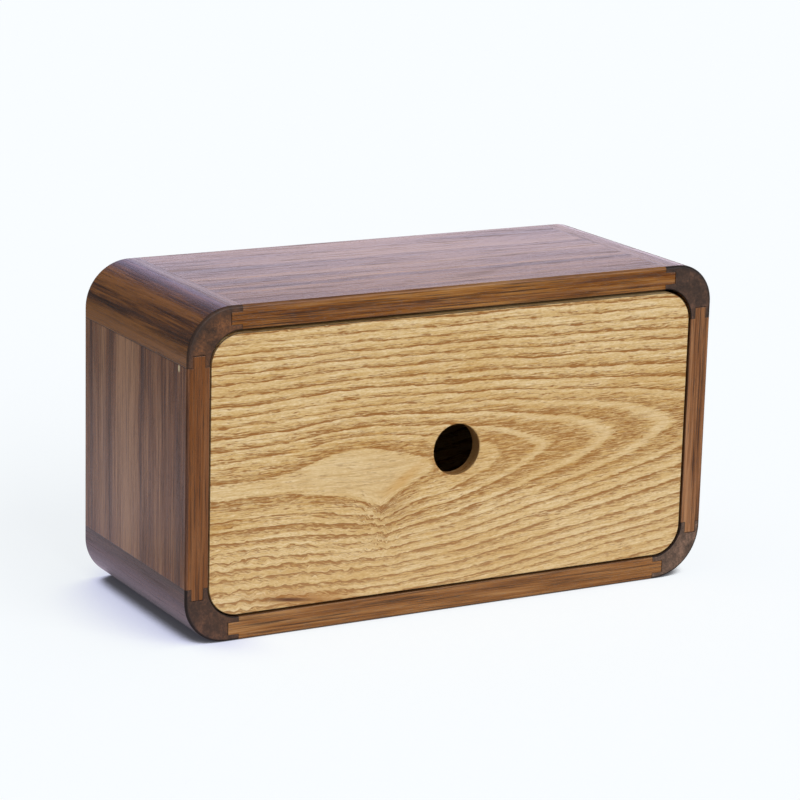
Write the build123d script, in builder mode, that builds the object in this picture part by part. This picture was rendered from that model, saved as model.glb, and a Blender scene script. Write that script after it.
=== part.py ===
from build123d import *
import os

# Tissue box with a drawer, in millimetres.
# The casing is a rounded walnut tube, open at the front: four panels tongued into four
# corner blocks, closed behind by a fitted back. A pale ash drawer slides out of its mouth.
# Origin at the middle of the base, X to the right, Y to the back, Z up; the drawer's
# front looks along -Y.

# ---- Casing
case_width = 250.0
case_height = 140.0
case_depth = 103.0           # front rim to back rim
panel_thickness = 10.0
mouth_radius = 14.0          # inside corners of the tube
round_top_left = 20.0        # outside corners, shaped by hand, so each has its own radius
round_top_right = 17.0
round_bottom_left = 18.5
round_bottom_right = 22.5
rim_ease = 1.2               # outside edges of the front and back rims
mouth_ease = 0.5             # inside edge of the front rim

# ---- Tongue-and-groove joints between the panels and the corner blocks
tongue_length = 4.8
tongue_thickness = 5.4
tongue_setback = 2.5         # from the panel's outer face
groove_room = 0.2            # left for glue beyond the tongue's end

# ---- Back of the casing
back_thickness = 6.5
back_setback = 0.8           # behind the back rim's plane
back_corner_relief = 0.5     # extra corner radius, so the corners drop in easily

# ---- Drawer front
front_thickness = 6.5
front_setback = 0.3          # inside the front rim's plane
front_radius = 13.0
gap_left = 0.4
gap_right = 0.8
gap_top = 1.4
gap_bottom = 0.7
front_ease = 0.6
finger_hole_diameter = 22.0
finger_hole_ease = 0.6

# ---- Drawer tray behind its front
side_thickness = 6.0
side_edge_round = 2.0        # lower outer edge, which runs beside the tube's round corner
side_top_clearance = 2.0
running_clearance = 0.3      # under the tray's sides
tenon_length = 2.5           # of the sides' stub tenons in the front
tenon_shoulder = 4.0
bottom_thickness = 4.0
bottom_lift = 5.0            # side's lower edge to the bottom board
bottom_groove_depth = 2.5
board_groove_room = 0.1      # left for glue in the front's mortises and the grooves
rear_board_thickness = 6.0
rear_board_housing = 2.0     # how far it goes into each side
rear_board_drop = 4.0        # below the sides' top edges, which lets the air out
board_ease = 0.6

# ---- Guides and stops inside the casing
guide_height = 9.0
guide_clearance = 0.4        # to the tray's side
guide_start = 0.5            # behind the drawer front
glue_line = 0.1              # between a guide and the casing's round corner
bumper_diameter = 12.0
bumper_thickness = 1.5
bumper_spacing = 140.0
bumper_gap = 0.3             # to the tray when the drawer is shut

# ---- Places that follow from the sizes
case_front = -case_depth / 2
case_rear = case_depth / 2
wall_x = case_width / 2 - panel_thickness
floor_z = panel_thickness
ceiling_z = case_height - panel_thickness
seam_x = wall_x - mouth_radius
seam_low = floor_z + mouth_radius
seam_high = ceiling_z - mouth_radius

back_rear = case_rear - back_setback
back_front = back_rear - back_thickness

front_face = case_front + front_setback
front_rear = front_face + front_thickness
front_left = -wall_x + gap_left
front_right = wall_x - gap_right
front_low = floor_z + gap_bottom
front_high = ceiling_z - gap_top
front_middle = ((front_left + front_right) / 2, (front_low + front_high) / 2)

tray_rear = back_front - bumper_thickness - bumper_gap
tray_half_width = seam_x + side_edge_round
tray_inner_half = tray_half_width - side_thickness
side_low = floor_z + running_clearance
side_high = ceiling_z - side_top_clearance
bottom_low = side_low + bottom_lift
bottom_high = bottom_low + bottom_thickness
bottom_hold = bottom_groove_depth - board_groove_room

LEFT, RIGHT = -1, 1
BOTTOM, TOP = -1, 1


# ---- Helpers
def across(y):
    """Plane across the box at depth y: X to the right, Z up, extruding to the front."""
    return Plane.XZ.offset(-y)


def patch(x_one, z_one, x_two, z_two, mode=Mode.ADD):
    """Rectangle between two corners, in the sketch that is being drawn."""
    with Locations(((x_one + x_two) / 2, (z_one + z_two) / 2)):
        Rectangle(abs(x_two - x_one), abs(z_two - z_one), mode=mode)


def inside_outline(inset, extra_radius, mode=Mode.ADD):
    """The tube's inner outline, drawn smaller by inset all round."""
    width = 2 * (wall_x - inset)
    height = ceiling_z - floor_z - 2 * inset
    with Locations((0, case_height / 2)):
        RectangleRounded(width, height, mouth_radius - inset + extra_radius, mode=mode)


def round_corner(outline, side, level, radius):
    """Round one outside corner of the rim's outline."""
    corner = (side * case_width / 2, case_height / 2 + level * case_height / 2)
    fillet(outline.vertices().sort_by_distance(corner)[0], radius)


def save(piece, name):
    """Label a finished piece and write it."""
    piece.part.label = name
    export_step(piece.part, f"parts/{name}.step")
    print(f"{name}: {len(piece.part.solids())} solid(s), {piece.part.volume:.0f} mm3")


os.makedirs("parts", exist_ok=True)

# ---- The whole tube as it is shaped after gluing up; each piece is cut out of it
with BuildPart() as tube:
    with BuildSketch(across(case_rear)) as rim:
        patch(-case_width / 2, 0, case_width / 2, case_height)
        round_corner(rim, LEFT, TOP, round_top_left)
        round_corner(rim, RIGHT, TOP, round_top_right)
        round_corner(rim, LEFT, BOTTOM, round_bottom_left)
        round_corner(rim, RIGHT, BOTTOM, round_bottom_right)
        inside_outline(0, 0, mode=Mode.SUBTRACT)
    extrude(amount=case_depth)
    front_rim = faces().sort_by(Axis.Y)[0]
    back_rim = faces().sort_by(Axis.Y)[-1]
    fillet(front_rim.outer_wire().edges() + back_rim.outer_wire().edges(), rim_ease)
    fillet(faces().sort_by(Axis.Y)[0].inner_wires()[0].edges(), mouth_ease)


# ---- Panels
def lying_panel(name, level):
    """Top or bottom panel, with a tongue along each end."""
    outer_z = case_height / 2 + level * case_height / 2
    tongue_outer = outer_z - level * tongue_setback
    tongue_reach = seam_x + tongue_length
    with BuildPart() as panel:
        with BuildSketch(across(case_rear)):
            patch(-seam_x, outer_z, seam_x, outer_z - level * panel_thickness)
            patch(-tongue_reach, tongue_outer, tongue_reach, tongue_outer - level * tongue_thickness)
        extrude(amount=case_depth)
        add(tube.part, mode=Mode.INTERSECT)
    save(panel, name)


def standing_panel(name, side):
    """Left or right panel, with a tongue along its upper and lower edges."""
    outer_x = side * case_width / 2
    tongue_outer = outer_x - side * tongue_setback
    with BuildPart() as panel:
        with BuildSketch(across(case_rear)):
            patch(outer_x, seam_low, outer_x - side * panel_thickness, seam_high)
            patch(
                tongue_outer,
                seam_low - tongue_length,
                tongue_outer - side * tongue_thickness,
                seam_high + tongue_length,
            )
        extrude(amount=case_depth)
        add(tube.part, mode=Mode.INTERSECT)
    save(panel, name)


lying_panel("top_panel", TOP)
lying_panel("bottom_panel", BOTTOM)
standing_panel("left_panel", LEFT)
standing_panel("right_panel", RIGHT)


# ---- Corner blocks
def corner_block(name, side, level):
    """Corner block: coved inside, rounded outside, grooved for the tongues of two panels."""
    outer_x = side * case_width / 2
    outer_z = case_height / 2 + level * case_height / 2
    near_x = side * seam_x
    near_z = seam_high if level == TOP else seam_low
    groove_depth = tongue_length + groove_room
    groove_x = outer_x - side * tongue_setback
    groove_z = outer_z - level * tongue_setback
    with BuildPart() as block:
        with BuildSketch(across(case_rear)):
            patch(near_x, near_z, outer_x, outer_z)
            patch(
                near_x,
                groove_z,
                near_x + side * groove_depth,
                groove_z - level * tongue_thickness,
                mode=Mode.SUBTRACT,
            )
            patch(
                groove_x,
                near_z,
                groove_x - side * tongue_thickness,
                near_z + level * groove_depth,
                mode=Mode.SUBTRACT,
            )
        extrude(amount=case_depth)
        add(tube.part, mode=Mode.INTERSECT)
    save(block, name)


corner_block("corner_top_left", LEFT, TOP)
corner_block("corner_top_right", RIGHT, TOP)
corner_block("corner_bottom_left", LEFT, BOTTOM)
corner_block("corner_bottom_right", RIGHT, BOTTOM)

# ---- Back, glued inside the tube
with BuildPart() as back_panel:
    with BuildSketch(across(back_rear)):
        inside_outline(0, back_corner_relief)
    extrude(amount=back_thickness)
save(back_panel, "back_panel")


# ---- Guides that keep the tray straight, shaped to the tube's round lower corners
def guide(name, side):
    """Strip glued into a lower corner, beside the tray's side."""
    near_x = side * (tray_half_width + guide_clearance)
    with BuildPart() as strip:
        with BuildSketch(across(back_front)):
            patch(near_x, floor_z, side * wall_x, floor_z + guide_height)
            inside_outline(glue_line, 0, mode=Mode.INTERSECT)
        extrude(amount=back_front - front_rear - guide_start)
    save(strip, name)


guide("guide_left", LEFT)
guide("guide_right", RIGHT)

# ---- Felt bumpers on the back, where the tray stops
with BuildPart() as rear_bumpers:
    with BuildSketch(across(back_front)):
        with Locations((0, case_height / 2)):
            with GridLocations(bumper_spacing, 0, 2, 1):
                Circle(bumper_diameter / 2)
    extrude(amount=bumper_thickness)
save(rear_bumpers, "rear_bumpers")

# ---- Drawer front, with its finger hole, mortises for the sides and a groove for the bottom
with BuildPart() as drawer_front:
    with BuildSketch(across(front_rear)):
        with Locations(front_middle):
            RectangleRounded(front_right - front_left, front_high - front_low, front_radius)
            Circle(finger_hole_diameter / 2, mode=Mode.SUBTRACT)
    extrude(amount=front_thickness)
    show_face = faces().sort_by(Axis.Y)[0]
    fillet(show_face.outer_wire().edges(), front_ease)
    hole_rims = edges().filter_by(GeomType.CIRCLE).filter_by(
        lambda edge: abs(edge.radius - finger_hole_diameter / 2) < finger_hole_ease
    )
    fillet(hole_rims, finger_hole_ease)
    with BuildSketch(across(front_rear)):
        for side in (LEFT, RIGHT):
            patch(
                side * tray_half_width,
                side_low + tenon_shoulder,
                side * tray_inner_half,
                side_high - tenon_shoulder,
            )
    extrude(amount=tenon_length + board_groove_room, mode=Mode.SUBTRACT)
    with BuildSketch(across(front_rear)):
        groove_reach = tray_inner_half + bottom_groove_depth
        patch(-groove_reach, bottom_low, groove_reach, bottom_high)
    extrude(amount=bottom_groove_depth, mode=Mode.SUBTRACT)
save(drawer_front, "drawer_front")


# ---- Drawer sides
def drawer_side(name, side):
    """Side board: a stub tenon in front, a groove for the bottom, a rebate for the rear board."""
    outer_x = side * tray_half_width
    inner_x = side * tray_inner_half
    side_length = tray_rear - front_rear
    with BuildPart() as board:
        with BuildSketch(across(tray_rear)):
            patch(outer_x, side_low, inner_x, side_high)
        extrude(amount=side_length)
        top_face = faces().sort_by(Axis.Z)[-1]
        fillet(top_face.edges().filter_by(Axis.Y), board_ease)
        lower_edges = faces().sort_by(Axis.Z)[0].edges().filter_by(Axis.Y).sort_by(Axis.X)
        fillet(lower_edges[0 if side == LEFT else -1], side_edge_round)
        with BuildSketch(across(front_rear)):
            patch(outer_x, side_low + tenon_shoulder, inner_x, side_high - tenon_shoulder)
        extrude(amount=tenon_length)
        with BuildSketch(across(tray_rear)):
            patch(inner_x, bottom_low, inner_x + side * bottom_groove_depth, bottom_high)
        extrude(amount=side_length + tenon_length, mode=Mode.SUBTRACT)
        with BuildSketch(across(tray_rear)):
            patch(inner_x, side_low, inner_x + side * rear_board_housing, side_high)
        extrude(amount=rear_board_thickness, mode=Mode.SUBTRACT)
    save(board, name)


drawer_side("drawer_left_side", LEFT)
drawer_side("drawer_right_side", RIGHT)

# ---- Drawer's rear board, housed between the sides on top of the bottom board
with BuildPart() as drawer_rear_board:
    with BuildSketch(across(tray_rear)):
        board_reach = tray_inner_half + rear_board_housing
        patch(-board_reach, bottom_high, board_reach, side_high - rear_board_drop)
    extrude(amount=rear_board_thickness)
    rear_top_face = faces().sort_by(Axis.Z)[-1]
    fillet(rear_top_face.edges().filter_by(Axis.X), board_ease)
save(drawer_rear_board, "drawer_rear_board")

# ---- Drawer bottom, slid in from behind along the grooves
with BuildPart() as drawer_bottom:
    with BuildSketch(across(tray_rear)):
        bottom_reach = tray_inner_half + bottom_hold
        patch(-bottom_reach, bottom_low, bottom_reach, bottom_high)
    extrude(amount=tray_rear - front_rear + bottom_hold)
save(drawer_bottom, "drawer_bottom")
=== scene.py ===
import logging
import math
import random
from dataclasses import dataclass, replace
from enum import Enum

import bmesh
import bpy
from mathutils import Matrix, Vector


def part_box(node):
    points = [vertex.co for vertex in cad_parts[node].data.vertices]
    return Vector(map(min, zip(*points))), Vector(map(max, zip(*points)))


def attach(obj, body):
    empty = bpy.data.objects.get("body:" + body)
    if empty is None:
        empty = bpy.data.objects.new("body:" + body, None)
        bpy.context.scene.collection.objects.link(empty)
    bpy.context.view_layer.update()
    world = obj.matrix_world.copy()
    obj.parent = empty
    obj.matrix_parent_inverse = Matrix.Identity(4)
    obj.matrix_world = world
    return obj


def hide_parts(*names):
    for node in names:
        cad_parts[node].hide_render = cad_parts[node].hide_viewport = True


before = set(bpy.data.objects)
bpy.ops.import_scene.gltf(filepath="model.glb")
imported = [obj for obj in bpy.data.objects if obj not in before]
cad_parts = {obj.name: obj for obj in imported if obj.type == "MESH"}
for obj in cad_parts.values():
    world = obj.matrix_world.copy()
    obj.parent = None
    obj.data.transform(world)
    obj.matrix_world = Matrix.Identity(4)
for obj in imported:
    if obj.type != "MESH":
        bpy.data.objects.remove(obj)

# A tissue box with a drawer: a rounded walnut tube with a pale ash drawer in its mouth.
# Lengths in the scene are metres. Inside the shaders they are millimetres, read from
# Object coordinates, because a grain is easier to judge in millimetres.

LOG = logging.getLogger("tissue_box")
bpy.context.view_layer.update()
MM = 1000.0

Shade = tuple[int, int, int]
Tone = tuple[float, float, float, float]
Edge = tuple[float, float]
Triple = tuple[float, float, float]


# ---------------- shader maths
def linear(red: int, green: int, blue: int) -> Tone:
    """Turn a screen colour into a shader's linear one.

    Args:
        red: red, 0 to 255.
        green: green, 0 to 255.
        blue: blue, 0 to 255.

    Returns:
        The linear colour, opaque.
    """
    shares = [value / 255.0 for value in (red, green, blue)]
    channels = [s / 12.92 if s <= 0.04045 else ((s + 0.055) / 1.055) ** 2.4 for s in shares]
    return (*channels, 1.0)


def dimmed(shade: Shade, factor: float) -> Shade:
    """Scale the channels of a screen colour."""
    return tuple(int(channel * factor) for channel in shade)


class Wire:
    """A shader value with arithmetic: each operation adds its Math node."""

    def __init__(self, bench: "Bench", socket: bpy.types.NodeSocket) -> None:
        """Wrap one output socket of a node on the bench."""
        self.bench = bench
        self.socket = socket

    def _math(self, operation: str, *operands: "Wire | float") -> "Wire":
        """Add a Math node.

        Args:
            operation: the node's operation.
            operands: its inputs in order.

        Returns:
            The node's value.
        """
        sockets = dict(enumerate(operands))
        return self.bench.node("ShaderNodeMath", {"operation": operation}, sockets)

    def __add__(self, other: "Wire | float") -> "Wire":
        """Sum."""
        return self._math("ADD", self, other)

    def __radd__(self, other: float) -> "Wire":
        """Sum, with the number first."""
        return self._math("ADD", other, self)

    def __sub__(self, other: "Wire | float") -> "Wire":
        """Difference."""
        return self._math("SUBTRACT", self, other)

    def __rsub__(self, other: float) -> "Wire":
        """Difference, with the number first."""
        return self._math("SUBTRACT", other, self)

    def __mul__(self, other: "Wire | float") -> "Wire":
        """Product."""
        return self._math("MULTIPLY", self, other)

    def __rmul__(self, other: float) -> "Wire":
        """Product, with the number first."""
        return self._math("MULTIPLY", other, self)

    def __truediv__(self, other: "Wire | float") -> "Wire":
        """Quotient."""
        return self._math("DIVIDE", self, other)

    def __pow__(self, power: float) -> "Wire":
        """Power."""
        return self._math("POWER", self, power)

    def __abs__(self) -> "Wire":
        """Size without sign."""
        return self._math("ABSOLUTE", self)

    def fract(self) -> "Wire":
        """Part after the point."""
        return self._math("FRACT", self)

    def floor(self) -> "Wire":
        """Whole part."""
        return self._math("FLOOR", self)

    def at_least(self, low: "Wire | float") -> "Wire":
        """The larger of this and low."""
        return self._math("MAXIMUM", self, low)

    def at_most(self, high: "Wire | float") -> "Wire":
        """The smaller of this and high."""
        return self._math("MINIMUM", self, high)

    def between(self, low: float, high: float) -> "Wire":
        """A share of 0 to 1, stretched to run from low to high."""
        return self * (high - low) + low

    def hypot(self, other: "Wire | float") -> "Wire":
        """Length of the right triangle's long side."""
        return (self * self + other * other) ** 0.5

    def fade(self, reach: float) -> "Wire":
        """Exponential decay: 1 at zero, 1/e at reach."""
        return self._math("POWER", math.e, self * (-1.0 / reach))

    def bell(self, centre: float, width: float) -> "Wire":
        """Smooth bump of height 1 at centre, 1/e at width from it."""
        offset = (self - centre) * (1.0 / width)
        return self._math("POWER", math.e, offset * offset * -1.0)

    def ramp(self, low: float, high: float) -> "Wire":
        """Smooth step, also where low is the larger.

        Args:
            low: where it leaves 0.
            high: where it reaches 1.

        Returns:
            The step, 0 to 1.
        """
        if low > high:
            return 1.0 - self.ramp(high, low)
        settings = {"interpolation_type": "SMOOTHSTEP"}
        return self.bench.node("ShaderNodeMapRange", settings, {0: self, 1: low, 2: high})


Point = tuple[Wire, Wire, Wire]


@dataclass(frozen=True)
class Spread:
    """How fine a noise is along, across and through a board, in millimetres."""

    along: float
    across: float
    through: float
    detail: float = 2.0
    roughness: float = 0.5
    seed: float = 0.0

    def seeded(self, seed: float) -> "Spread":
        """The same spread for another board, whose seed is added."""
        return replace(self, seed=self.seed + seed)


class Bench:
    """The node tree of a material or a world, with the few ways that this file adds nodes."""

    def __init__(self, owner: "bpy.types.Material | bpy.types.World") -> None:
        """Empty the owner's node tree.

        Args:
            owner: the material or world that the nodes belong to.
        """
        self.owner = owner
        owner.use_nodes = True
        self.tree = owner.node_tree
        self.tree.nodes.clear()

    def raw(self, kind: str, settings: dict, sockets: dict) -> bpy.types.Node:
        """Add any node.

        Args:
            kind: the node's type.
            settings: its own settings, set before its sockets; "stops" fills a colour ramp.
            sockets: input name or number to a value or a Wire.

        Returns:
            The node.
        """
        node = self.tree.nodes.new(kind)
        for key, value in settings.items():
            if key == "stops":
                self._fill_ramp(node.color_ramp, value)
            else:
                setattr(node, key, value)
        for key, value in sockets.items():
            if isinstance(value, Wire):
                self.tree.links.new(value.socket, node.inputs[key])
            else:
                node.inputs[key].default_value = value
        return node

    def node(self, kind: str, settings: dict, sockets: dict, output: int | str = 0) -> Wire:
        """Add any node and wrap one of its outputs.

        Args:
            kind: the node's type.
            settings: as for raw.
            sockets: as for raw.
            output: the output's name or number.

        Returns:
            That output.
        """
        return Wire(self, self.raw(kind, settings, sockets).outputs[output])

    @staticmethod
    def _fill_ramp(ramp: bpy.types.ColorRamp, stops: list[tuple[float, Tone]]) -> None:
        """Give a colour ramp its stops.

        Args:
            ramp: the ramp.
            stops: position and colour of each stop, in order.
        """
        while len(ramp.elements) < len(stops):
            ramp.elements.new(1.0)
        for element, (position, colour) in zip(ramp.elements, stops):
            element.position = position
            element.color = colour

    def coordinates(self, kind: str) -> Point:
        """X, Y and Z of one output of the Texture Coordinate node."""
        split = self.raw("ShaderNodeSeparateXYZ", {}, {0: self.node("ShaderNodeTexCoord", {}, {}, kind)})
        return tuple(Wire(self, output) for output in split.outputs)

    def place(self) -> Point:
        """X, Y and Z of the point, in millimetres."""
        return tuple(part * MM for part in self.coordinates("Object"))

    def facing(self, axis: int) -> Wire:
        """How squarely the surface faces along one axis, 0 to 1."""
        return abs(self.coordinates("Normal")[axis])

    def rays(self, *kinds: str) -> list[Wire]:
        """1 on rays of each kind that the Light Path node knows, 0 on others."""
        path = self.raw("ShaderNodeLightPath", {}, {})
        return [Wire(self, path.outputs[f"Is {kind} Ray"]) for kind in kinds]

    def noise(self, spot: Point, spread: Spread) -> Wire:
        """Fractal noise, stretched by the spread.

        Args:
            spot: along, across and through the board, in millimetres.
            spread: how fine it is, and its seed.

        Returns:
            The noise round 0, about -1 to 1.
        """
        sizes = (spread.along, spread.across, spread.through)
        scaled = {i: spot[i] * (1.0 / sizes[i]) + spread.seed * (i + 1.0) for i in range(3)}
        vector = self.node("ShaderNodeCombineXYZ", {}, scaled)
        sockets = {"Vector": vector, "Scale": 1.0, "Detail": spread.detail, "Roughness": spread.roughness}
        return (self.node("ShaderNodeTexNoise", {}, sockets) - 0.5) * 3.0

    def per_ring(self, number: Wire, seed: float) -> Wire:
        """A random value of 0 to 1, the same all along one ring."""
        settings = {"noise_dimensions": "1D"}
        return self.node("ShaderNodeTexWhiteNoise", settings, {"W": number.floor() + seed})

    def tint(self, colour: Wire | Tone, other: Wire | Tone, amount: Wire | float) -> Wire:
        """Blend another colour over a colour.

        Args:
            colour: the colour below.
            other: the colour above.
            amount: how much of it, 0 to 1.

        Returns:
            The blended colour.
        """
        return self.node("ShaderNodeMix", {"data_type": "RGBA"}, {0: amount, 6: colour, 7: other}, 2)

    def layers(self, colour: Wire, layers: list[tuple[Shade, Wire]]) -> Wire:
        """Lay screen colours over a colour, one after the other.

        Args:
            colour: the colour below.
            layers: each screen colour and its share, 0 to 1.

        Returns:
            The blended colour.
        """
        for shade, amount in layers:
            colour = self.tint(colour, linear(*shade), amount)
        return colour

    def grade(self, value: Wire, stops: list[tuple[float, Tone]]) -> Wire:
        """Colour ramp over a value."""
        return self.node("ShaderNodeValToRGB", {"stops": stops}, {0: value})

    def finish(
        self, colour: Wire, roughness: Wire, height: Wire, depth_mm: float, **others: Wire | float
    ) -> bpy.types.Material:
        """Close the tree with a Principled shader and a bump.

        Args:
            colour: base colour.
            roughness: roughness.
            height: relief, about 0 to 1.
            depth_mm: how deep a height of 1 is.
            others: more sockets, with an underscore for each space.

        Returns:
            The finished material.
        """
        relief = {"Strength": 1.0, "Distance": depth_mm / MM, "Height": height}
        bump = self.node("ShaderNodeBump", {}, relief, "Normal")
        sockets = {"Base Color": colour, "Roughness": roughness, "Normal": bump}
        sockets.update({name.replace("_", " "): value for name, value in others.items()})
        shader = self.node("ShaderNodeBsdfPrincipled", {}, sockets, "BSDF")
        self.raw("ShaderNodeOutputMaterial", {}, {"Surface": shader})
        return self.owner


# ---------------- finishes
class Grain(Enum):
    """Which way a board's grain runs: the axes along, across and through it."""

    SIDEWAYS = (0, 2, 1)
    FLAT_SIDEWAYS = (0, 1, 2)
    UPRIGHT = (2, 1, 0)
    INTO_DEPTH = (1, 0, 2)


@dataclass(frozen=True)
class AshFinish:
    """Pale oiled ash: each ring opens with dark pores and fades into calm late wood.

    All lengths are in millimetres. The middle of the tree runs at tree_height, leaning by
    tree_lean, and the saw passed it cut_depth away, nearest at nearest_left of the middle.
    """

    grain: Grain = Grain.SIDEWAYS
    ring_width: float = 3.95
    calm_radius: float = 12.8
    seed: float = 0.0
    tree_height: float = 76.0
    tree_lean: float = 0.03
    nearest_left: float = 60.0
    cut_rounding: float = 26.0
    cut_slope: float = 0.17
    cut_depth: float = 5.0
    fibre_lean: float = 0.02
    relief_mm: float = 0.09
    cream: Shade = (232, 207, 161)
    straw: Shade = (213, 178, 118)
    honey: Shade = (193, 146, 74)
    umber: Shade = (162, 109, 42)
    pore: Shade = (148, 92, 28)
    sawn_end: Shade = (150, 112, 68)
    bend: Spread = Spread(48.0, 20.0, 20.0, 2.0, seed=3.1)
    tremble: Spread = Spread(8.0, 1.4, 1.4, 2.0, 0.6, 5.7)
    wander: Spread = Spread(15.0, 15.0, 15.0, 1.0, seed=2.3)
    patchy: Spread = Spread(22.0, 4.0, 4.0, 1.0, seed=37.0)
    dash: Spread = Spread(10.0, 0.55, 0.55, 2.0, 0.6, 11.0)
    tick: Spread = Spread(3.6, 0.42, 0.42, 2.0, 0.6, 17.0)
    streak: Spread = Spread(20.0, 0.6, 0.6, 3.0, 0.65, 23.0)
    fleck: Spread = Spread(1.8, 0.38, 0.38, 2.0, 0.6, 27.0)
    cloud: Spread = Spread(60.0, 22.0, 22.0, seed=29.0)

    def rings(self, bench: Bench, spot: Point) -> tuple[Wire, Wire]:
        """Distance of a point from the middle of the tree, for a plainly sawn board.

        Args:
            bench: the material's bench; not used here.
            spot: along, across and through the board.

        Returns:
            That distance, and the point's place across the fibres.
        """
        along, across, through = spot
        middle = along * self.tree_lean + self.tree_height + self.seed
        from_nearest = (along + self.nearest_left).hypot(self.cut_rounding)
        to_cut = from_nearest * self.cut_slope + self.cut_depth + through * 0.9
        return (across - middle).hypot(to_cut), across - along * self.fibre_lean

    def early_wood(self, bench: Bench, board: Point, number: Wire) -> Wire:
        """How much open early wood there is.

        Args:
            bench: the material's bench.
            board: along, across and through the board.
            number: the ring's number; its fraction is the place in it.

        Returns:
            The early wood, 0 to about 1.
        """
        phase = number.fract()
        strength = bench.per_ring(number, self.seed).between(0.6, 1.0)
        calm = number.ramp(-0.3, 0.4).between(0.3, 1.0)
        reach = bench.per_ring(number, self.seed + 7.0) * 0.2 + number.ramp(6.0, 1.0) * 0.25 + 0.55
        patches = bench.noise(board, self.patchy.seeded(self.seed)).ramp(-0.5, 0.3).between(0.7, 1.0)
        first_pores = phase.bell(0.1, 0.08)
        later_pores = phase.ramp(0.0, 0.1) * (1.0 - phase / reach).at_least(0.0) ** 0.7
        return (first_pores * 0.28 + later_pores * 0.85) * strength * calm * patches

    def build(self, name: str) -> bpy.types.Material:
        """Make the material.

        Args:
            name: the material's name.

        Returns:
            The material.
        """
        bench = Bench(bpy.data.materials.new(name))
        place = bench.place()
        along, across, through = board = tuple(place[i] for i in self.grain.value)
        bend, tremble, cloud = (
            bench.noise(board, spread.seeded(self.seed)) for spread in (self.bend, self.tremble, self.cloud))
        distance, fibre = self.rings(bench, (along, across + bend * 0.8 + tremble * 0.6, through))
        wander = bench.noise((distance, distance, distance), self.wander)
        number = (distance - self.calm_radius) * (1.0 / self.ring_width) + wander * 0.25

        dashes, ticks, streaks, flecks = (
            bench.noise((along, fibre, through), spread.seeded(self.seed))
            for spread in (self.dash, self.tick, self.streak, self.fleck))
        early = self.early_wood(bench, board, number)
        early = self.zones(place, number.fract() + dashes * 0.1, early)
        dashes = self.strokes(bench, place, dashes)
        pores = (dashes * 0.85 + ticks * 0.65 + early * 1.1 - 0.35).ramp(-0.2, 0.62)

        body = early * 0.3 + streaks * 0.42 + flecks * 0.3 + cloud * 0.16 + 0.25
        colour = bench.grade(body, [
            (0.0, linear(*self.cream)),
            (0.35, linear(*self.straw)),
            (0.7, linear(*self.honey)),
            (1.0, linear(*self.umber)),
        ])
        colour = bench.tint(colour, linear(*self.pore), pores * 0.9)
        colour = self.marks(bench, colour, place, pores, number)
        end = bench.facing(self.grain.value[0]).ramp(0.6, 0.9)
        colour = bench.tint(colour, linear(*self.sawn_end), end * 0.6)
        roughness = pores * 0.15 + streaks * 0.03 + 0.5
        height = streaks * 0.12 - pores * 0.9 + 0.8
        return bench.finish(colour, roughness, height, self.relief_mm, IOR=1.46)

    def zones(self, place: Point, phase: Wire, early: Wire) -> Wire:
        """Early wood of each ring; a plain board leaves it as it is."""
        return early

    def strokes(self, bench: Bench, place: Point, dashes: Wire) -> Wire:
        """Pores as dashes; a plain board leaves them along its fibres."""
        return dashes

    def marks(self, bench: Bench, colour: Wire, place: Point, pores: Wire, number: Wire) -> Wire:
        """Marks that only one board has; a plain board has none."""
        return colour


@dataclass(frozen=True)
class Patch:
    """A soft oval on a board's face: its middle and its half widths, in millimetres."""

    x: float
    half_x: float
    z: float
    half_z: float

    def share(self, x: Wire, z: Wire) -> Wire:
        """How much of the patch is at a point, 1 in its middle."""
        return x.bell(self.x, self.half_x) * z.bell(self.z, self.half_z)


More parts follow.
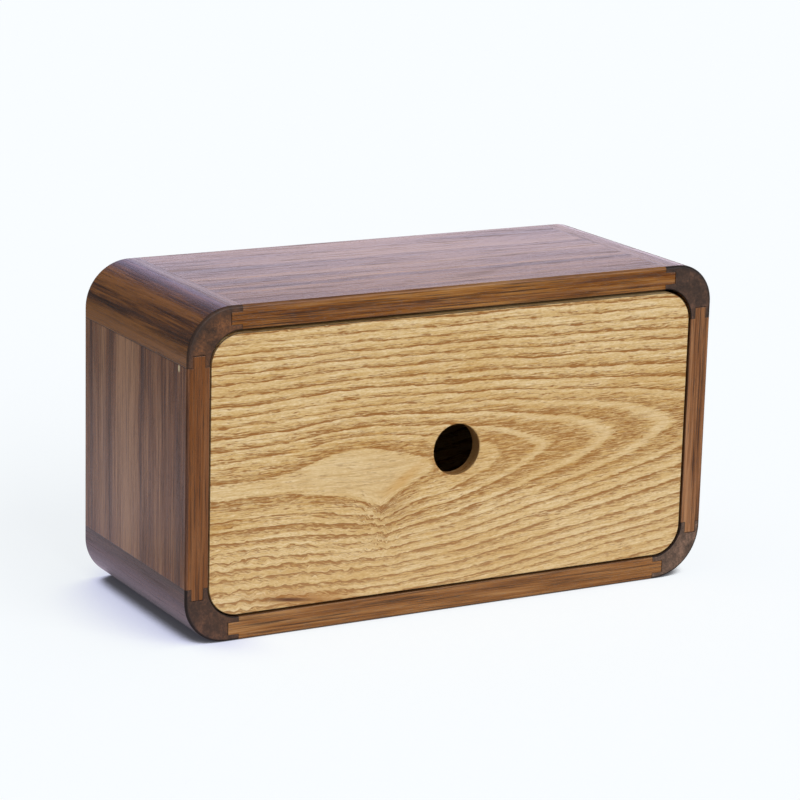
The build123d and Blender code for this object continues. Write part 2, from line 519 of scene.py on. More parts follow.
@dataclass(frozen=True)
class FrontBoardFinish(AshFinish):
    """The drawer front's own board: arches on the right, a calm lens and a seam on the left.

    The lens is where the saw met the youngest ring. The seam below it is where the fibres
    dip towards a small branch. Places are millimetres on its face.
    """

    lens_x: float = -48.0
    lens_z: float = 64.5
    lens_depth: float = 9.4
    right_depth: float = 14.2
    left_rise: float = 3.35
    bulge: Patch = Patch(-48.0, 26.0, 65.0, 22.0)
    seam_x: float = -36.0
    seam_z: float = 50.0
    seam_lean: float = 0.25
    seam_dip: float = 8.0
    heart: Patch = Patch(40.0, 46.0, 68.0, 18.0)
    knot: Patch = Patch(-27.0, 6.0, 46.5, 3.5)
    face_y: float = -51.2
    hole_x: float = -0.2
    hole_z: float = 69.65
    hole_radius: float = 11.0
    curl: Spread = Spread(4.5, 3.5, 30.0, 1.0, seed=51.0)
    fray: Spread = Spread(3.0, 2.2, 30.0, 2.0, 0.6, 57.0)
    slant: Spread = Spread(4.6, 0.65, 3.0, 2.0, 0.6, 61.0)
    feather: Spread = Spread(7.0, 30.0, 1.0, 2.0, 0.6, 71.0)
    vein: Spread = Spread(24.0, 30.0, 0.9, 2.0, 0.6, 77.0)

    def rings(self, bench: Bench, spot: Point) -> tuple[Wire, Wire]:
        """Distance of a point from the middle of the tree, for the drawer front.

        Args:
            bench: the material's bench.
            spot: along, across and through the board.

        Returns:
            That distance, and the point's place across the fibres.
        """
        x, z, y = spot
        curl = bench.noise(spot, self.curl) * z.ramp(52.0, 34.0) * x.ramp(-20.0, -62.0)
        fray = bench.noise(spot, self.fray) * z.ramp(53.0, 47.0) * z.ramp(18.0, 36.0)
        beside_seam = (x - (self.seam_z - z) * self.seam_lean).bell(self.seam_x - 3.0, 8.0)
        z = z + curl * 1.1 + fray * beside_seam * 2.0

        below = (self.seam_z - z).at_least(0.0)
        from_seam = (x - (below * self.seam_lean + self.seam_x)).hypot(z.ramp(50.0, 58.0) * 7.0)
        reach = below * 0.8 + 14.0
        dip = (from_seam / reach).fade(1.0) * below.fade(28.0) * z.ramp(76.0, 50.0) * self.seam_dip
        flowing = z + dip

        to_right = x.at_least(0.0)
        tilt = to_right * 0.065 * (1.0 - z.ramp(72.0, 108.0) * 0.4)
        bulge = self.bulge.share(x, z) * 1.6
        from_lens = x - self.lens_x
        sag = from_lens.at_most(0.0) * 0.028 * z.bell(63.0, 30.0)
        height = abs(flowing - (tilt + bulge + sag + self.lens_z))

        right_side = (x + 5.0).at_least(0.0) * 0.13 + (self.right_depth - self.lens_depth)
        right_well = (1.0 - x.bell(self.lens_x, 30.0)) * right_side * from_lens.ramp(-0.5, 0.5)
        left_well = (1.0 - x.bell(self.lens_x, 20.0)) * self.left_rise * from_lens.ramp(0.5, -0.5)
        to_cut = right_well + left_well + self.lens_depth + (y - self.face_y) * 0.8
        point = x.ramp(5.0, 45.0) * 10.0
        distance = (height * height.hypot(point) + to_cut * to_cut) ** 0.5
        return distance, flowing - to_right * z.ramp(95.0, 40.0) * 0.055

    def arches(self, place: Point) -> Wire:
        """Share of the board's right half, where the saw cut the rings flat."""
        x, _, z = place
        return x.ramp(4.0, 22.0) * z.bell(69.0, 17.0)

    def curled(self, place: Point) -> Wire:
        """Share of the lower left, where the fibres curl."""
        x, _, z = place
        return z.ramp(53.0, 36.0) * x.ramp(-18.0, -58.0)

    def zones(self, place: Point, phase: Wire, early: Wire) -> Wire:
        """Early wood of each ring, wide between the pale bands of the arches."""
        broad = phase.ramp(-0.1, 0.15) * phase.ramp(0.84, 0.6) * 0.42 + 0.05
        return (early + (broad - early) * self.arches(place)) * (1.0 + self.curled(place) * 0.15)

    def strokes(self, bench: Bench, place: Point, dashes: Wire) -> Wire:
        """Pores as dashes, short and slanting where the fibres curl in the lower left."""
        slanting = bench.noise((place[0], place[2] + place[0] * 0.3, place[1]), self.slant)
        return dashes + (slanting * 1.1 - dashes) * self.curled(place) * 0.8

    def marks(self, bench: Bench, colour: Wire, place: Point, pores: Wire, number: Wire) -> Wire:
        """Marks of this board: its arches, lens, knot and resin streak, a painted shadow line on its outer
        edge, and the hole wall, darker partly in the drilled wood's own tone and partly as painted shade.

        Args:
            bench: the material's bench.
            colour: the colour so far.
            place: the point in millimetres.
            pores: how much of a pore is there.
            number: the ring's number; its fraction is the place in it.

        Returns:
            The colour with the marks on it.
        """
        x, _, z = place
        feathered = number.fract() + bench.noise(place, self.feather) * 0.09
        pale_band = feathered.bell(0.88, 0.1) * self.arches(place) * number.ramp(0.6, 2.8)
        heart = self.heart.share(x, z) * (pores * 0.7 + 0.3) * (1.0 - pale_band)
        lens = (number + pores * 0.4).ramp(0.35, -0.45) * x.ramp(-8.0, -20.0)
        veins = bench.noise(place, self.vein).ramp(0.05, 0.6)
        fringe = abs(z - ((x + 36.0) * 0.62 + 53.0)).ramp(4.0, 0.5) * x.bell(-25.0, 9.0)
        knot = self.knot.share(x, z) * (pores * 0.6 + 0.4)
        above_streak = z - ((x + 87.5) * -0.13 + 15.3)
        glow = above_streak.ramp(6.0, 0.0) * above_streak.ramp(-3.5, -0.5) * x.bell(-70.0, 22.0)
        streak = abs(above_streak).ramp(1.2, 0.3) * x.bell(-78.0, 10.0)
        from_hole = (x - self.hole_x).hypot(z - self.hole_z)
        # The hole wall's tint is partly the drilled wood's own and partly painted shade.
        wall = from_hole.ramp(self.hole_radius + 0.2, self.hole_radius - 0.1)
        to_depth = bench.facing(1)
        # Painted shade: a dark shadow line along the board's outer edge, kept off the hole.
        arris = to_depth.ramp(0.05, 0.25) * to_depth.ramp(0.98, 0.85) * from_hole.ramp(14.0, 20.0)
        return bench.layers(colour, [
            ((224, 196, 148), pale_band * 0.5),
            ((186, 134, 64), heart * 0.35),
            ((228, 200, 156), z.ramp(60.0, 20.0) * 0.14),
            ((223, 197, 150), lens * 0.45),
            ((188, 146, 86), veins * lens * 0.5),
            ((206, 156, 82), fringe * 0.6),
            ((146, 98, 50), knot * 0.7),
            ((172, 112, 48), glow * 0.75),
            ((92, 48, 22), streak * 0.95),
            # Painted shade: the shadow line on the outer edge, and part of the hole wall's darkness.
            ((52, 30, 14), arris * 0.8),
            ((128, 76, 26), wall * 0.85),
        ])


@dataclass(frozen=True)
class JointLines:
    """Where the tongued joints of the casing run, in millimetres from its middle."""

    seam_x: float = 101.0
    seam_z: float = 46.0
    tongue_length: float = 4.8
    tongue_middle: float = 5.2
    tongue_half: float = 2.7
    half_width: float = 125.0
    half_height: float = 70.0

    def distance(self, x: Wire, z: Wire) -> Wire:
        """Distance from the nearest joint line.

        Args:
            x: across the box from its middle.
            z: up from the base.

        Returns:
            The distance in millimetres, never negative.
        """
        side = abs(x)
        level = abs(z - self.half_height)
        lying = self._outline(side, level, self.seam_x, self.half_height)
        standing = self._outline(level, side, self.seam_z, self.half_width)
        return lying.at_most(standing)

    def depth_inside(self, x: Wire, z: Wire) -> Wire:
        """How far a point is behind the nearest flat outer face of the casing."""
        return (self.half_width - abs(x)).at_most(self.half_height - abs(z - self.half_height))

    def rim_distance(self, x: Wire, z: Wire, radius: float) -> Wire:
        """How far a point is inside the rounded outline of the casing's front.

        Args:
            x: across the box from its middle.
            z: up from the base.
            radius: the outline's corner radius.

        Returns:
            The distance in millimetres.
        """
        side = (abs(x) - (self.half_width - radius)).at_least(0.0)
        level = (abs(z - self.half_height) - (self.half_height - radius)).at_least(0.0)
        return radius - side.hypot(level)

    def _outline(self, run: Wire, rise: Wire, seam: float, outer: float) -> Wire:
        """Distance from the outline of one panel's end and its tongue.

        Args:
            run: from the box's middle towards the panel's end.
            rise: from the box's middle towards the panel's outer face.
            seam: where the panel ends, without its tongue.
            outer: where its outer face is.

        Returns:
            The distance in millimetres.
        """
        in_tongue = abs(rise - (outer - self.tongue_middle)) - self.tongue_half
        tongue = (run - (seam + self.tongue_length)).at_least(in_tongue)
        return abs((run - seam).at_most(tongue))


@dataclass(frozen=True)
class Stripe:
    """One broad stripe of a board's figure.

    axis is the axis that it is measured on, across is its place there, strength is above 0
    where it is paler, and slope and bow bend it along the grain.
    """

    axis: int
    across: float
    half_width: float
    strength: float
    slope: float = 0.0
    bow: float = 0.0


@dataclass(frozen=True)
class WalnutFinish:
    """Walnut under satin varnish, for one board: its grain, its stripes and its tones.

    arris_shade, front_wear, front_tone and mineral are shares of 0 to 1; arris_shade is painted shade, a
    dark outline in rim_tone on the rounded arrises and inside the front's rim. In millimetres are
    line_pitch, for the dark lines, corner_radius, the outline's, rim_shade, the painted shade band inside
    it, and fillers, the depth and height of each filled hole.
    """

    grain: Grain
    dark: Shade = (90, 45, 10)
    middle: Shade = (137, 84, 30)
    light: Shade = (174, 122, 64)
    end: Shade = (74, 52, 38)
    stripes: tuple[Stripe, ...] = ()
    seed: float = 0.0
    arris_shade: float = 0.25
    front_wear: float = 0.0
    front_tone: float = 0.0
    mineral: float = 0.0
    line_pitch: float = 0.9
    corner_radius: float = 1.0
    rim_shade: float = 1.5
    rim_tone: Shade = (32, 24, 23)
    fillers: tuple[tuple[float, float], ...] = ()
    filler_tone: Shade = (246, 226, 178)
    joints: JointLines = JointLines()
    relief_mm: float = 0.05
    wide_band: Spread = Spread(170.0, 8.0, 8.0, 1.0, seed=1.3)
    slim_band: Spread = Spread(90.0, 2.4, 2.4, 2.0, 0.6, 4.0)
    wobble: Spread = Spread(40.0, 9.0, 9.0, seed=19.0)
    streak: Spread = Spread(30.0, 0.8, 0.8, 3.0, 0.65, 7.0)
    short: Spread = Spread(4.5, 0.32, 0.32, 2.0, 0.6, 9.0)
    speckle: Spread = Spread(1.0, 1.0, 1.0, 3.0, 0.8, 13.0)
    blotch: Spread = Spread(6.0, 6.0, 6.0, 2.0, seed=31.0)

    def figure(self, bench: Bench, place: Point, spot: Point) -> Wire:
        """The broad bands of the board, about -1 to 1.

        Args:
            bench: the material's bench.
            place: the point in millimetres.
            spot: the same along, across and through the board.

        Returns:
            The figure's tone.
        """
        wide = bench.noise(spot, self.wide_band.seeded(self.seed))
        slim = bench.noise(spot, self.slim_band.seeded(self.seed))
        tone = wide * 0.5 + slim * 0.5
        wobble = bench.noise(spot, self.wobble.seeded(self.seed)) * 1.8
        for stripe in self.stripes:
            run = spot[0] * 0.01
            bend = run * run * stripe.bow + run * (stripe.slope * 100.0)
            shape = (place[stripe.axis] + wobble - bend).bell(stripe.across, stripe.half_width)
            tone = tone + shape * stripe.strength
        return tone

    def end_grain(self, bench: Bench, spot: Point, figure: Wire) -> Wire:
        """Colour of the sawn ends: mottled, with the rings showing as faint arcs.

        Args:
            bench: the material's bench.
            spot: along, across and through the board.
            figure: the board's broad bands.

        Returns:
            The colour.
        """
        speckle = bench.noise(spot, self.speckle.seeded(self.seed))
        blotch = bench.noise(spot, self.blotch.seeded(self.seed))
        return bench.grade(speckle * 0.55 + blotch * 0.4 + figure * 0.15 + 0.5, [
            (0.05, linear(*dimmed(self.end, 0.6))),
            (0.5, linear(*self.end)),
            (0.95, linear(*dimmed(self.end, 1.5))),
        ])

    def filled(self, place: Point) -> list[tuple[Shade, Wire]]:
        """Tone and share of each pale filler in the board's holes."""
        spots = [place[1].bell(depth, 0.75) * place[2].bell(rise, 1.7) for depth, rise in self.fillers]
        return [(self.filler_tone, spot.ramp(0.2, 0.5)) for spot in spots]

    def build(self, name: str) -> bpy.types.Material:
        """Make the material.

        Args:
            name: the material's name.

        Returns:
            The material.
        """
        bench = Bench(bpy.data.materials.new(name))
        x, y, z = place = bench.place()
        spot = tuple(place[i] for i in self.grain.value)
        figure = self.figure(bench, place, spot)
        streaks = bench.noise(spot, self.streak.seeded(self.seed))
        short = bench.noise(spot, self.short.seeded(self.seed))
        fine = Spread(36.0, self.line_pitch, 0.6, 2.0, 0.6, 21.0)
        lines = bench.noise(spot, fine.seeded(self.seed)).ramp(0.0, 0.6)
        veil = Spread(110.0, self.line_pitch * 3.0, 2.4, 1.0, seed=33.0)
        minerals = bench.noise(spot, veil.seeded(self.seed)).ramp(0.0, 0.6)
        pores = (short - figure * 0.25).ramp(0.15, 0.55)

        to_depth = bench.facing(1)
        front = to_depth.ramp(0.9, 0.99)
        end = bench.facing(self.grain.value[0]).ramp(0.2, 0.5)
        arris = to_depth.ramp(0.03, 0.15) * to_depth.ramp(0.995, 0.93)
        # Painted shade: a dark band inside the front's rounded outline.
        rim = self.joints.rim_distance(x, z, self.corner_radius).ramp(self.rim_shade, 0.3) * front
        joint = self.joints.distance(x, z).ramp(0.32, 0.08)
        # Painted shade: the casing's inner faces, deeper than its walls, darkened as if in shadow.
        inside = self.joints.depth_inside(x, z).ramp(9.6, 10.1) * (1.0 - front)

        colour = bench.grade(figure * 0.6 + streaks * 0.55 + short * 0.14 + 0.6, [
            (0.05, linear(*self.dark)),
            (0.5, linear(*self.middle)),
            (0.95, linear(*self.light)),
        ])
        colour = bench.layers(colour, [
            ((92, 80, 88), minerals * self.mineral),
            ((122, 70, 24), front * self.front_tone),
            (dimmed(self.dark, 0.62), lines * (front * 0.42 + 0.42)),
            ((46, 26, 14), pores * 0.42),
            *((tone, share * (1.0 - front)) for tone, share in self.filled(place)),
        ])
        colour = bench.tint(colour, self.end_grain(bench, spot, figure), end)
        colour = bench.layers(colour, [
            # Painted shade: a dark outline on the arrises and inside the front's rim, in rim_tone.
            (self.rim_tone, arris.at_least(rim) * self.arris_shade),
            ((30, 18, 11), joint * 0.6),
            # Painted shade on the casing's inner faces.
            ((34, 20, 12), inside * 0.6),
        ])
        roughness = end * 0.2 + arris * 0.45 + lines * 0.1 + pores * 0.1 + streaks * 0.03 + 0.24
        height = streaks * 0.12 - lines * 0.25 - pores * 0.7 - joint * 0.8 + 1.1
        varnish = (1.0 - end.at_least(arris)) * (1.0 - lines * 0.5) * 0.55 + 0.1
        varnish = varnish * (1.0 - y.ramp(25.0, -50.0) * self.front_wear)
        coat = {"Coat_Weight": varnish, "Coat_Roughness": 0.13, "Coat_IOR": 1.5}
        return bench.finish(colour, roughness, height, self.relief_mm, IOR=1.5, **coat)


@dataclass(frozen=True)
class FeltFinish:
    """Dark pressed felt."""

    dark: Shade = (22, 20, 19)
    pale: Shade = (60, 54, 50)
    relief_mm: float = 0.3
    fibre: Spread = Spread(0.35, 0.35, 0.35, 4.0, 0.7)

    def build(self, name: str) -> bpy.types.Material:
        """Make the material.

        Args:
            name: the material's name.

        Returns:
            The material.
        """
        bench = Bench(bpy.data.materials.new(name))
        fibres = bench.noise(bench.place(), self.fibre)
        colour = bench.grade(fibres * 0.4 + 0.5, [
            (0.2, linear(*self.dark)),
            (0.8, linear(*self.pale)),
        ])
        roughness, height = fibres * 0.02 + 0.93, fibres * 0.5 + 0.5
        return bench.finish(colour, roughness, height, self.relief_mm, Sheen_Weight=0.4)


# ---------------- the object
def dress(node: str, material: bpy.types.Material) -> None:
    """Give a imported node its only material.

    Args:
        node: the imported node's name.
        material: its material.
    """
    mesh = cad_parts[node].data
    mesh.materials.clear()
    mesh.materials.append(material)
    LOG.info("dressed %s with %s", node, material.name)


@dataclass(frozen=True)
class FeltStops:
    """Two pressed felt discs on the back, cut a little unevenly and worn round in front."""

    node: str = "rear_bumpers"
    edge_mm: float = 0.55
    uneven_mm: float = 0.12
    segments: int = 72
    edge_rows: int = 6
    face_rows: int = 9
    seed: int = 5

    def section(self, radius: float, depth: float) -> list[tuple[float, float]]:
        """Half a section through a disc, from its back rim round to its middle.

        Args:
            radius: the disc's radius.
            depth: how far it stands off the back.

        Returns:
            Radius and height of each row of points.
        """
        edge = self.edge_mm / MM
        turns = [math.pi / 2.0 * row / self.edge_rows for row in range(self.edge_rows + 1)]
        rounded = [(radius - edge + edge * math.cos(t), depth - edge + edge * math.sin(t)) for t in turns]
        inner = radius - edge
        face = [(inner * (1.0 - row / self.face_rows), depth) for row in range(1, self.face_rows)]
        return [(radius, 0.0)] + rounded + face

    def add_disc(self, mesh: bmesh.types.BMesh, back: Vector, radius: float, depth: float) -> None:
        """Add one closed disc.

        Args:
            mesh: the mesh to add to.
            back: the middle of the disc's back.
            radius: the disc's radius.
            depth: how far it stands off the back.
        """
        chance = random.Random(self.seed)
        uneven = self.uneven_mm / MM
        trims = [1.0 - chance.random() * uneven / radius for _ in range(self.segments)]
        rows = []
        for ring, height in self.section(radius, depth):
            row = []
            for step, trim in enumerate(trims):
                turn = math.tau * step / self.segments
                dent = chance.random() * uneven if height > 0.0 else 0.0
                spot = Vector((ring * trim * math.cos(turn), dent - height, ring * trim * math.sin(turn)))
                row.append(mesh.verts.new(back + spot))
            rows.append(row)
        for lower, upper in zip(rows, rows[1:]):
            for step in range(self.segments):
                after = (step + 1) % self.segments
                mesh.faces.new((lower[step], lower[after], upper[after], upper[step]))
        for row, height in ((rows[0], 0.0), (rows[-1], depth)):
            middle = mesh.verts.new(back - Vector((0.0, height, 0.0)))
            for step in range(self.segments):
                mesh.faces.new((row[step], row[(step + 1) % self.segments], middle))

    def build(self, material: bpy.types.Material) -> None:
        """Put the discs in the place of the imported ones.

        Args:
            material: their material.
        """
        low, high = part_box(self.node)
        radius = (high.z - low.z) / 2.0
        level = (high.z + low.z) / 2.0
        discs = bmesh.new()
        for across in (low.x + radius, high.x - radius):
            self.add_disc(discs, Vector((across, high.y, level)), radius, high.y - low.y)
        bmesh.ops.recalc_face_normals(discs, faces=discs.faces)
        mesh = bpy.data.meshes.new("felt_stops")
        discs.to_mesh(mesh)
        discs.free()
        mesh.shade_smooth()
        mesh.materials.append(material)
        stops = bpy.data.objects.new("felt_stops", mesh)
        bpy.context.scene.collection.objects.link(stops)
        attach(stops, "casing")
        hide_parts(self.node)
        LOG.info("built %s with %d faces", stops.name, len(mesh.polygons))


@dataclass(frozen=True)
class Casing:
    """The walnut tube: four panels tongued into four corner blocks, and its ash back."""

    top_figure_and_sheen: tuple[Stripe, ...] = (
        Stripe(1, 19.0, 2.0, 0.5), Stripe(1, 14.0, 2.5, -0.6),
        Stripe(1, -4.0, 2.2, 0.6, 0.02, 4.0), Stripe(1, -9.5, 3.0, -0.4),
        Stripe(1, -18.0, 1.6, 0.5), Stripe(1, -23.0, 2.2, -0.6),
        Stripe(1, 36.0, 5.0, -0.3, 0.04), Stripe(1, -46.0, 9.0, -0.25),
        # These two stripes run across the grain and are painted light: a paler middle as painted sheen, a
        # darker left end as painted shade.
        Stripe(0, 5.0, 45.0, 0.35), Stripe(0, -98.0, 32.0, -0.15),
    )
    left_figure: tuple[Stripe, ...] = (
        Stripe(1, 9.0, 9.0, 0.8), Stripe(1, -7.0, 1.5, -0.8),
        Stripe(1, -14.0, 5.0, -0.1), Stripe(1, 25.0, 1.2, -0.4),
        Stripe(1, 33.0, 1.5, 0.3), Stripe(1, 44.0, 2.5, -0.3),
        Stripe(1, -34.0, 3.0, -0.3, 0.06), Stripe(1, -28.0, 2.5, 0.3, 0.06),
        Stripe(1, -45.0, 8.0, -0.3),
    )
    right_figure: tuple[Stripe, ...] = (
        Stripe(1, -52.0, 9.0, 0.1), Stripe(1, 0.0, 6.0, -0.4),
        Stripe(1, 22.0, 9.0, 0.4),
    )
    upper_left_figure: tuple[Stripe, ...] = (
        Stripe(2, 126.5, 1.8, -0.8), Stripe(2, 120.0, 3.0, 0.6),
        Stripe(2, 134.5, 1.6, 0.35), Stripe(2, 131.0, 1.0, -0.4),
        Stripe(2, 117.0, 3.0, 0.5),
    )
    left_filler: tuple[float, float] = (-43.5, 114.7)
    back_seed: float = 4.0
    guide_seed: float = 9.0

    def panels(self) -> dict[str, WalnutFinish]:
        """Choose each panel's own board of walnut.

        Returns:
            Node to finish.
        """
        return {
            "top_panel": WalnutFinish(
                Grain.FLAT_SIDEWAYS, (92, 45, 8), (142, 86, 28), (180, 126, 64),
                stripes=self.top_figure_and_sheen, seed=1.0, line_pitch=2.2, mineral=0.15, front_wear=0.4),
            "bottom_panel": WalnutFinish(
                Grain.FLAT_SIDEWAYS, (102, 58, 20), (151, 97, 46), (182, 132, 80), seed=2.0),
            "left_panel": WalnutFinish(
                Grain.UPRIGHT, (88, 45, 18), (142, 88, 50), (190, 138, 98),
                stripes=self.left_figure, seed=3.0, line_pitch=1.2, mineral=0.18,
                front_tone=0.75, front_wear=0.5, fillers=(self.left_filler,)),
            "right_panel": WalnutFinish(
                Grain.UPRIGHT, (92, 52, 26), (144, 93, 54), (182, 130, 88),
                stripes=self.right_figure, seed=4.0),
        }

    def blocks(self) -> dict[str, WalnutFinish]:
        """Choose each corner block's darker walnut, with end grain on the rims.

        Returns:
            Node to finish.
        """
        return {
            "corner_top_left": WalnutFinish(
                Grain.INTO_DEPTH, (46, 22, 6), (102, 57, 16), (162, 102, 42), (90, 56, 31),
                stripes=self.upper_left_figure, seed=5.0, arris_shade=0.75, line_pitch=1.1,
                mineral=0.1, corner_radius=20.0, rim_shade=4.2, rim_tone=(50, 38, 34)),
            "corner_top_right": WalnutFinish(
                Grain.INTO_DEPTH, end=(72, 51, 39),
                seed=6.0, arris_shade=0.9, corner_radius=17.0, rim_shade=2.4),
            "corner_bottom_left": WalnutFinish(
                Grain.INTO_DEPTH, (34, 18, 12), (66, 39, 30), (108, 70, 54), (72, 48, 34),
                seed=7.0, arris_shade=0.9, line_pitch=1.3, mineral=0.1, corner_radius=18.5),
            "corner_bottom_right": WalnutFinish(
                Grain.INTO_DEPTH, (54, 36, 28), (92, 66, 50), (124, 92, 72), (94, 73, 60),
                seed=8.0, arris_shade=0.9, corner_radius=22.5),
        }

    def dress_inside(self) -> None:
        """Dress the back, the guides and the felt stops."""
        dress("back_panel", AshFinish(seed=self.back_seed).build("back_ash"))
        guides = AshFinish(Grain.INTO_DEPTH, seed=self.guide_seed).build("guide_ash")
        dress("guide_left", guides)
        dress("guide_right", guides)
        FeltStops().build(FeltFinish().build("bumper_felt"))

    def build(self) -> None:
        """Dress the whole casing."""
        for node, finish in (self.panels() | self.blocks()).items():
            dress(node, finish.build(node + "_walnut"))
        self.dress_inside()


@dataclass(frozen=True)
class Drawer:
    """The ash drawer: its show front and the tray behind it."""

    side_seed: float = 14.0
    rear_seed: float = 19.0
    bottom_seed: float = 24.0

    def build(self) -> None:
        """Dress the front and the tray."""
        dress("drawer_front", FrontBoardFinish().build("front_ash"))
        sides = AshFinish(Grain.INTO_DEPTH, seed=self.side_seed).build("side_ash")
        dress("drawer_left_side", sides)
        dress("drawer_right_side", sides)
        dress("drawer_rear_board", AshFinish(seed=self.rear_seed).build("rear_ash"))
        bottom = AshFinish(Grain.FLAT_SIDEWAYS, seed=self.bottom_seed).build("bottom_ash")
        dress("drawer_bottom", bottom)


# ---------------- the studio
@dataclass(frozen=True)
class ReferenceView:
    """The camera of the reference view."""

    eye: Triple = (-0.6242, -1.1164, 0.3992)
    right: Triple = (0.8755, -0.4826, 0.0255)
    up: Triple = (0.0955, 0.2246, 0.9698)
    lens_mm: float = 137.22
    sensor_mm: float = 36.0

    def build(self) -> None:
        """Place the camera at the reference view's eye."""
        data = bpy.data.cameras.new("reference_view")
        data.lens = self.lens_mm
        data.sensor_width = self.sensor_mm
        camera = bpy.data.objects.new("reference_view", data)
        right = Vector(self.right).normalized()
        back = right.cross(Vector(self.up)).normalized()
        up = back.cross(right)
        turn = Matrix((right, up, back)).transposed().to_4x4()
        camera.matrix_world = Matrix.Translation(self.eye) @ turn
        bpy.context.scene.collection.objects.link(camera)
        bpy.context.scene.camera = camera


@dataclass(frozen=True)
class Room:
    """Even light on matt surfaces; shiny ones see a dim room with a bright low sweep.

    Each edge is where the sweep starts and where it is whole, along the mirrored ray: to the
    right, away from the front, or up. It is low behind the object and higher beside it.
    Tones are linear.
    """

    backdrop: Shade = (247, 251, 254)
    low_sweep: Tone = (1.14, 1.03, 1.27, 1.0)
    high_sweep: Tone = (0.88, 0.80, 1.25, 1.0)
    dim_room: Tone = (0.10, 0.10, 0.11, 1.0)
    even_light: Tone = (1.0, 1.0, 1.0, 1.0)
    ambient: float = 0.40
    beside_edge: Edge = (0.42, 0.34)
    low_edge: Edge = (0.28, 0.175)
    high_edge: Edge = (0.55, 0.2)
    near_edge: Edge = (-0.3, 0.15)
    left_edge: Edge = (-0.12, 0.22)

    def build(self) -> None:
        """Make the scene's world."""
        world = bpy.data.worlds.new("studio")
        bpy.context.scene.world = world
        bench = Bench(world)
        right, away, rise = bench.coordinates("Generated")
        beside = right.ramp(*self.beside_edge)
        low, high = rise.ramp(*self.low_edge), rise.ramp(*self.high_edge)
        under_edge = low + (high - low) * beside
        sweep = away.ramp(*self.near_edge) * under_edge * right.ramp(*self.left_edge)
        bright = bench.tint(self.low_sweep, self.high_sweep, beside)
        mirrored = bench.tint(self.dim_room, bright, sweep)
        camera, glossy, clear = bench.rays("Camera", "Glossy", "Transmission")
        seen = camera.at_least(clear)
        colour = bench.tint(self.even_light, mirrored, glossy)
        colour = bench.tint(colour, linear(*self.backdrop), seen)
        strength = seen.at_least(glossy).between(self.ambient, 1.0)
        light = bench.node("ShaderNodeBackground", {}, {"Color": colour, "Strength": strength})
        bench.raw("ShaderNodeOutputWorld", {}, {"Surface": light})


@dataclass(frozen=True)
class KeyLight:
    """One broad soft light from the front; the softness is its angle in degrees."""

    strength: float = 2.05
    direction: Triple = (0.3, -1.0, 0.62)
    softness: float = 50.0

    def build(self) -> None:
        """Hang the light."""
        data = bpy.data.lights.new("key", "SUN")
        data.energy = self.strength
        data.angle = math.radians(self.softness)
        lamp = bpy.data.objects.new("key", data)
        lamp.rotation_mode = "QUATERNION"
        lamp.rotation_quaternion = Vector(self.direction).to_track_quat("Z", "Y")
        bpy.context.scene.collection.objects.link(lamp)


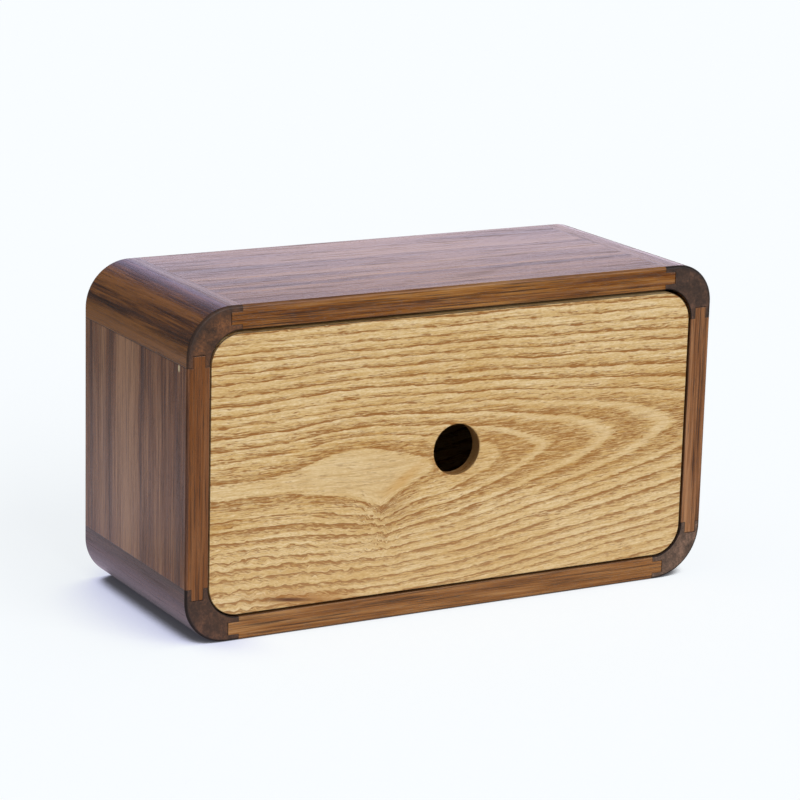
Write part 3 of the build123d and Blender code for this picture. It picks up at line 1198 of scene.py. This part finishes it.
@dataclass(frozen=True)
class Floor:
    """A white floor that keeps the shadow, partly painted.

    It is plain to the lights, white to the camera and dimmer far in front in reflections. To the camera its
    shadow is painted from how much sky is open over a point: dark right beneath the object and lavender
    farther out on the left. Its reflections are darkened the same way.
    Tones are linear. The edges of open_far, open_near and open_mirrored are shares of open
    sky over a point, and the other edges are millimetres on the floor.
    """

    half_size: float = 12.0
    sky_reach: float = 0.07
    sky_samples: int = 16
    seen: Tone = (0.766, 0.799, 0.826, 1.0)
    # Painted shadow tones, seen by the camera.
    seen_left_shadow: Tone = (0.52, 0.54, 0.72, 1.0)
    seen_contact_shadow: Tone = (0.03, 0.03, 0.04, 1.0)
    left_shadow_side: Edge = (-85.0, -112.0)
    open_far: Edge = (0.45, 0.8)
    open_near: Edge = (0.3, 0.5)
    bounce_front: Tone = (0.30, 0.24, 0.19, 1.0)
    bounce_back: Tone = (0.54, 0.46, 0.49, 1.0)
    bounce_left: Tone = (0.48, 0.40, 0.51, 1.0)
    bounce_far: Tone = (0.04, 0.04, 0.04, 1.0)
    front_to_back: Edge = (30.0, 135.0)
    left_outer: Edge = (-168.0, -140.0)
    left_inner: Edge = (-95.0, -118.0)
    bounce_reach: Edge = (700.0, 100.0)
    open_mirrored: Edge = (0.0, 0.75)
    matt: Tone = (0.64, 0.66, 0.69, 1.0)
    matt_seen: Tone = (0.25, 0.25, 0.25, 1.0)
    matt_mirrored: Tone = (0.1, 0.1, 0.1, 1.0)

    def material(self) -> bpy.types.Material:
        """Make the floor's material.

        Returns:
            The material.
        """
        bench = Bench(bpy.data.materials.new("floor_white"))
        camera, glossy = bench.rays("Camera", "Glossy")
        reach = {"Distance": self.sky_reach}
        sky = bench.node("ShaderNodeAmbientOcclusion", {"samples": self.sky_samples}, reach, "AO")
        across, away, _ = bench.place()

        # Painted shadow, seen by the camera: lavender on the left where some sky is closed, dark where
        # little is open.
        left_shadow = (1.0 - sky.ramp(*self.open_far)) * across.ramp(*self.left_shadow_side)
        seen = bench.tint(self.seen, self.seen_left_shadow, left_shadow)
        seen = bench.tint(self.seen_contact_shadow, seen, sky.ramp(*self.open_near))

        bounce = bench.tint(self.bounce_front, self.bounce_back, away.ramp(*self.front_to_back))
        at_left = across.ramp(*self.left_outer) * across.ramp(*self.left_inner)
        bounce = bench.tint(bounce, self.bounce_left, at_left)
        # Painted shadow in reflections: the floor mirrors dimmer where little sky is open.
        near = across.hypot(away).ramp(*self.bounce_reach) * sky.ramp(*self.open_mirrored)
        bounce = bench.tint(self.bounce_far, bounce, near)

        glow = bench.tint(seen, bounce, glossy)
        matt = bench.tint(self.matt, self.matt_seen, camera)
        matt = bench.tint(matt, self.matt_mirrored, glossy)
        diffuse = bench.node("ShaderNodeBsdfDiffuse", {}, {"Color": matt})
        lift = bench.node("ShaderNodeEmission", {}, {"Color": glow, "Strength": camera.at_least(glossy)})
        both = bench.node("ShaderNodeAddShader", {}, {0: diffuse, 1: lift})
        bench.raw("ShaderNodeOutputMaterial", {}, {"Surface": both})
        return bench.owner

    def build(self) -> None:
        """Lay the floor."""
        mesh = bpy.data.meshes.new("floor")
        s = self.half_size
        mesh.from_pydata([(-s, -s, 0), (s, -s, 0), (s, s, 0), (-s, s, 0)], [], [(0, 1, 2, 3)])
        floor = bpy.data.objects.new("floor", mesh)
        bpy.context.scene.collection.objects.link(floor)
        mesh.materials.append(self.material())


@dataclass(frozen=True)
class Studio:
    """A white sweep under soft light, and the camera of the reference view."""

    view: ReferenceView = ReferenceView()
    room: Room = Room()
    key: KeyLight = KeyLight()
    floor: Floor = Floor()

    def build(self) -> None:
        """Set the studio up."""
        for fitting in (self.view, self.room, self.key, self.floor):
            fitting.build()
        bpy.context.scene.view_settings.view_transform = "Standard"


def main() -> None:
    """Build the studio and dress the object, piece by piece."""
    logging.basicConfig(level=logging.INFO, format="%(message)s")
    Studio().build()
    Casing().build()
    Drawer().build()


if __name__ == "__main__":
    main()
